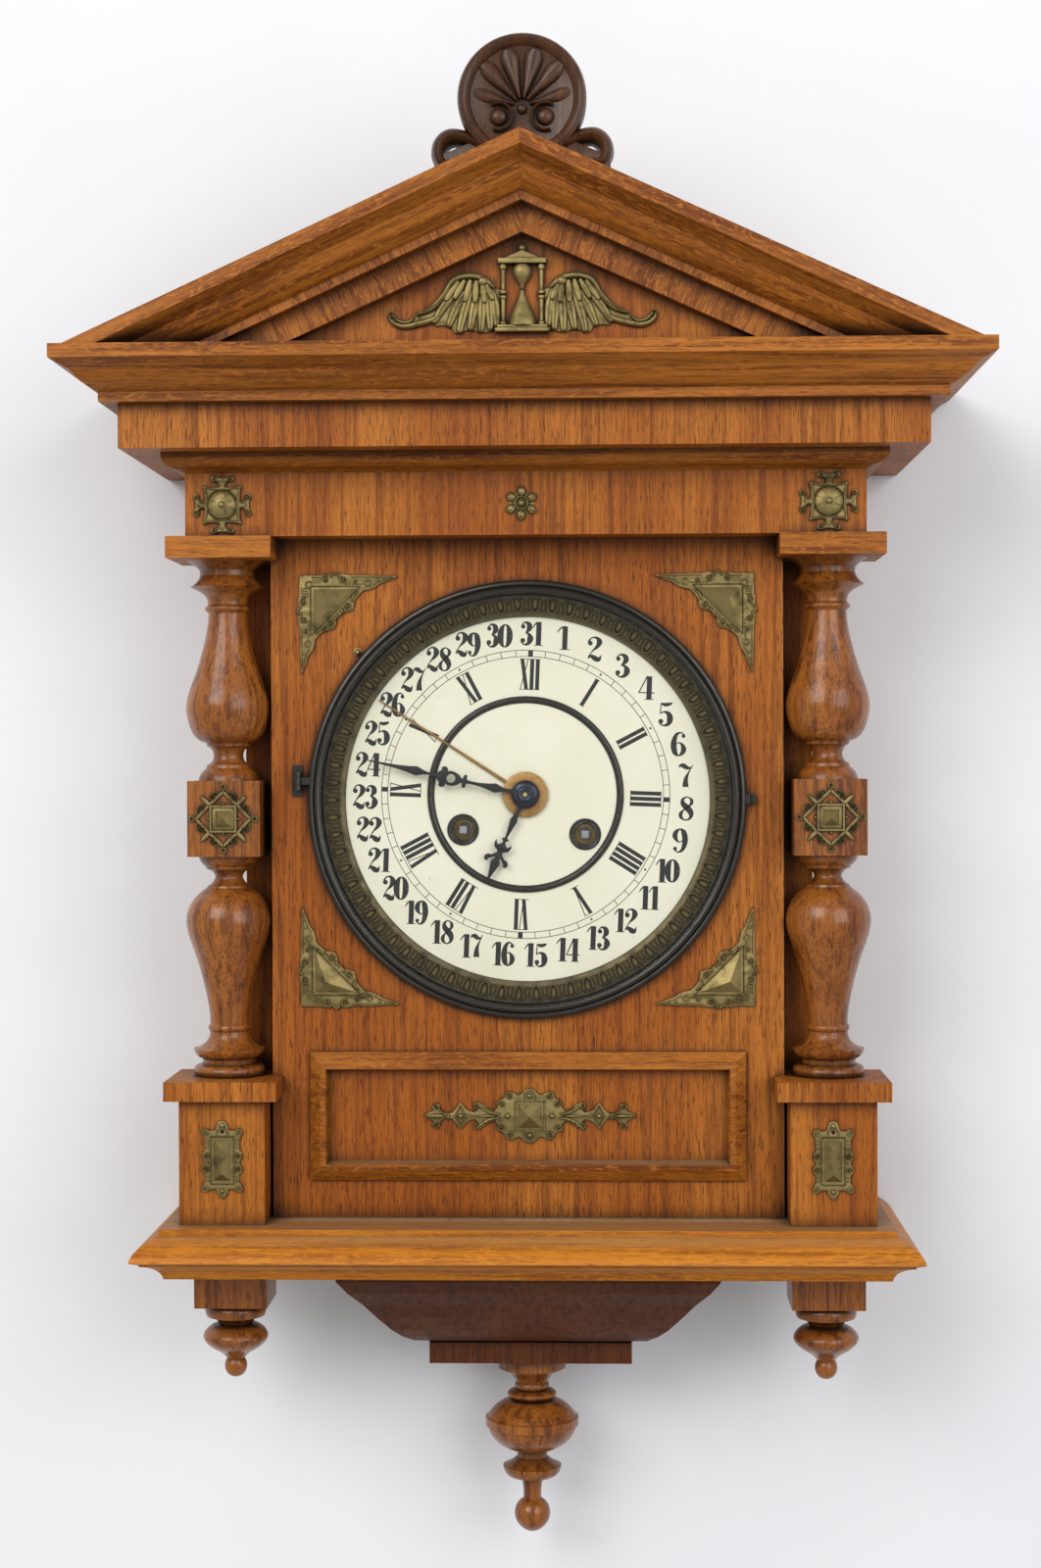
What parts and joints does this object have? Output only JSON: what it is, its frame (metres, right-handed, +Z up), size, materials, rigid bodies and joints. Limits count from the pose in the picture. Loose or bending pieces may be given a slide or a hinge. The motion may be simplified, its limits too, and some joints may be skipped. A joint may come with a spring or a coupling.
{
  "type": "wall clock with calendar",
  "caption": "Pedimented oak wall clock with turned columns, glazed round door, paper date and time dial, key-wound pendulum movement.",
  "frame": {"origin": "centre of the hanging hole in the back plate, on the wall plane", "axes": "+Z up, -Y towards the room, +X to the viewer's right"},
  "size_m": [0.4634, 0.178, 0.784],
  "materials": {
    "black_hand": "black",
    "blued_steel": "blued",
    "bright_brass": "lacquered",
    "clear_glass": "clear",
    "dark_brass": "dark patina",
    "dial_paint": "matte paper dial",
    "oak_case": "polished veneer, vertical grain",
    "oak_dark": "dark stained",
    "oak_inside": "raw",
    "oak_moulding": "polished, figured",
    "oak_turned": "french polished",
    "old_brass": "patinated",
    "steel": "turned"
  },
  "bodies": {
    "case": {"apron": "oak_dark", "backboard": "oak_inside", "base_moulding": "oak_moulding", "bed_moulding": "oak_moulding", "case_floor": "oak_inside", "case_sides": "oak_case", "case_top": "oak_inside", "column_capitals": "oak_moulding", "column_mounts": "old_brass", "columns": "oak_turned", "corner_mounts": "old_brass", "cornice": "oak_moulding", "crest_shell": "oak_dark", "dial_brasses": "old_brass", "dial_plate": "dial_paint", "door_fittings": "dark_brass", "finial_centre": "oak_turned", "finials_side": "oak_turned", "frieze_lower": "oak_case", "frieze_rosettes": "old_brass", "frieze_upper": "oak_case", "front_panel": "oak_case", "gong": "steel", "hanger_plate": "steel", "mainsprings": "steel", "movement_pillars": "bright_brass", "movement_plates": "bright_brass", "panel_frame": "oak_moulding", "panel_mount": "old_brass", "pedestal_mounts": "old_brass", "pedestals": "oak_moulding", "raking_cornices": "oak_moulding", "sight_ring": "old_brass", "tympanum": "oak_dark", "winged_hourglass": "old_brass"},
    "door": {"bezel": "dark_brass", "glass": "clear_glass", "glass_retainer": "dark_brass"},
    "minute": {"minute_hand": "black_hand", "cannon_pinion": "bright_brass", "hand_nut": "blued_steel"},
    "hour": {"hour_hand": "black_hand", "hour_wheel": "bright_brass"},
    "date": {"date_hand": "bright_brass", "date_wheel": "bright_brass"},
    "minute_wheel_body": {"minute_wheel": "bright_brass"},
    "day_wheel_body": {"day_wheel": "bright_brass"},
    "escape": {"escape_arbor": "bright_brass"},
    "third": {"third_arbor": "bright_brass"},
    "centre": {"centre_arbor": "bright_brass"},
    "intermediate": {"intermediate_arbor": "bright_brass"},
    "time_great": {"time_great_wheel": "bright_brass"},
    "time_winding": {"time_winding_arbor": "steel"},
    "strike_winding": {"strike_winding_arbor": "steel"},
    "strike_great": {"strike_great_wheel": "bright_brass"},
    "strike_pins": {"strike_pinwheel": "bright_brass"},
    "verge_body": {"verge": "steel"},
    "pendulum": {"pendulum_rod": "steel", "pendulum_bob": "bright_brass"},
    "hammer_body": {"hammer": "steel"}
  },
  "joints": [
    {"name": "door_hinge", "type": "hinge", "parent": "case", "child": "door", "pos_m": [-0.119, -0.1006, -0.1755], "axis": [0, 0, -1], "range_deg": [0, 110]},
    {"name": "minute_turn", "type": "hinge", "parent": "case", "child": "minute", "pos_m": [-0.001, -0.091, -0.183], "axis": [0, 1, 0], "continuous": true},
    {"name": "hour_turn", "type": "hinge", "parent": "case", "child": "hour", "pos_m": [-0.001, -0.085, -0.183], "axis": [0, 1, 0], "continuous": true},
    {"name": "date_turn", "type": "hinge", "parent": "case", "child": "date", "pos_m": [-0.001, -0.084, -0.183], "axis": [0, 1, 0], "continuous": true},
    {"name": "minute_wheel_turn", "type": "hinge", "parent": "case", "child": "minute_wheel_body", "pos_m": [0.01272, -0.074, -0.17862], "axis": [0, 1, 0], "continuous": true},
    {"name": "day_wheel_turn", "type": "hinge", "parent": "case", "child": "day_wheel_body", "pos_m": [-0.01146, -0.078, -0.16308], "axis": [0, 1, 0], "continuous": true},
    {"name": "escape_turn", "type": "hinge", "parent": "case", "child": "escape", "pos_m": [0.00026, -0.06, -0.15156], "axis": [0, 1, 0], "continuous": true},
    {"name": "third_turn", "type": "hinge", "parent": "case", "child": "third", "pos_m": [-0.00813, -0.06, -0.16595], "axis": [0, 1, 0], "continuous": true},
    {"name": "centre_turn", "type": "hinge", "parent": "case", "child": "centre", "pos_m": [-0.001, -0.06, -0.183], "axis": [0, 1, 0], "continuous": true},
    {"name": "intermediate_turn", "type": "hinge", "parent": "case", "child": "intermediate", "pos_m": [0.01793, -0.06, -0.17791], "axis": [0, 1, 0], "continuous": true},
    {"name": "time_great_turn", "type": "hinge", "parent": "case", "child": "time_great", "pos_m": [0.03018, -0.06, -0.20397], "axis": [0, 1, 0], "continuous": true},
    {"name": "time_winding", "type": "hinge", "parent": "case", "child": "time_winding", "pos_m": [0.03018, -0.08, -0.20397], "axis": [0, 1, 0], "range_deg": [0, 2520]},
    {"name": "strike_winding", "type": "hinge", "parent": "case", "child": "strike_winding", "pos_m": [-0.03377, -0.08, -0.2014], "axis": [0, 1, 0], "range_deg": [0, 2520]},
    {"name": "strike_great_turn", "type": "hinge", "parent": "case", "child": "strike_great", "pos_m": [-0.03377, -0.042, -0.2014], "axis": [0, 1, 0], "continuous": true},
    {"name": "strike_pins_turn", "type": "hinge", "parent": "case", "child": "strike_pins", "pos_m": [-0.04519, -0.06, -0.17409], "axis": [0, 1, 0], "continuous": true},
    {"name": "pendulum_swing", "type": "hinge", "parent": "case", "child": "pendulum", "pos_m": [0.00094, -0.03, -0.13458], "axis": [0, 1, 0], "range_deg": [-4.5, 4.5]},
    {"name": "verge_rock", "type": "hinge", "parent": "case", "child": "verge_body", "pos_m": [0.00094, -0.05, -0.13458], "axis": [0, 1, 0], "range_deg": [-4.5, 4.5]},
    {"name": "hammer_lift", "type": "hinge", "parent": "case", "child": "hammer_body", "pos_m": [-0.0573, -0.015, -0.21427], "axis": [0, 1, 0], "range_deg": [0, 8], "stiffness_Nm_per_rad": 0.02, "springref_deg": -11.46}
  ],
  "couplings": [
    {"joint": "minute_wheel_turn", "follows": "minute_turn", "ratio": -0.33333},
    {"joint": "hour_turn", "follows": "minute_turn", "ratio": 0.083333},
    {"joint": "day_wheel_turn", "follows": "minute_turn", "ratio": -0.041667},
    {"joint": "date_turn", "follows": "minute_turn", "ratio": 0.0013441},
    {"joint": "third_turn", "follows": "escape_turn", "ratio": -0.088889},
    {"joint": "centre_turn", "follows": "escape_turn", "ratio": 0.0088889},
    {"joint": "intermediate_turn", "follows": "escape_turn", "ratio": -0.0014815},
    {"joint": "time_great_turn", "follows": "escape_turn", "ratio": 0.0002963},
    {"joint": "strike_pins_turn", "follows": "strike_great_turn", "ratio": -4.2857},
    {"joint": "verge_rock", "follows": "pendulum_swing", "ratio": 1}
  ]
}
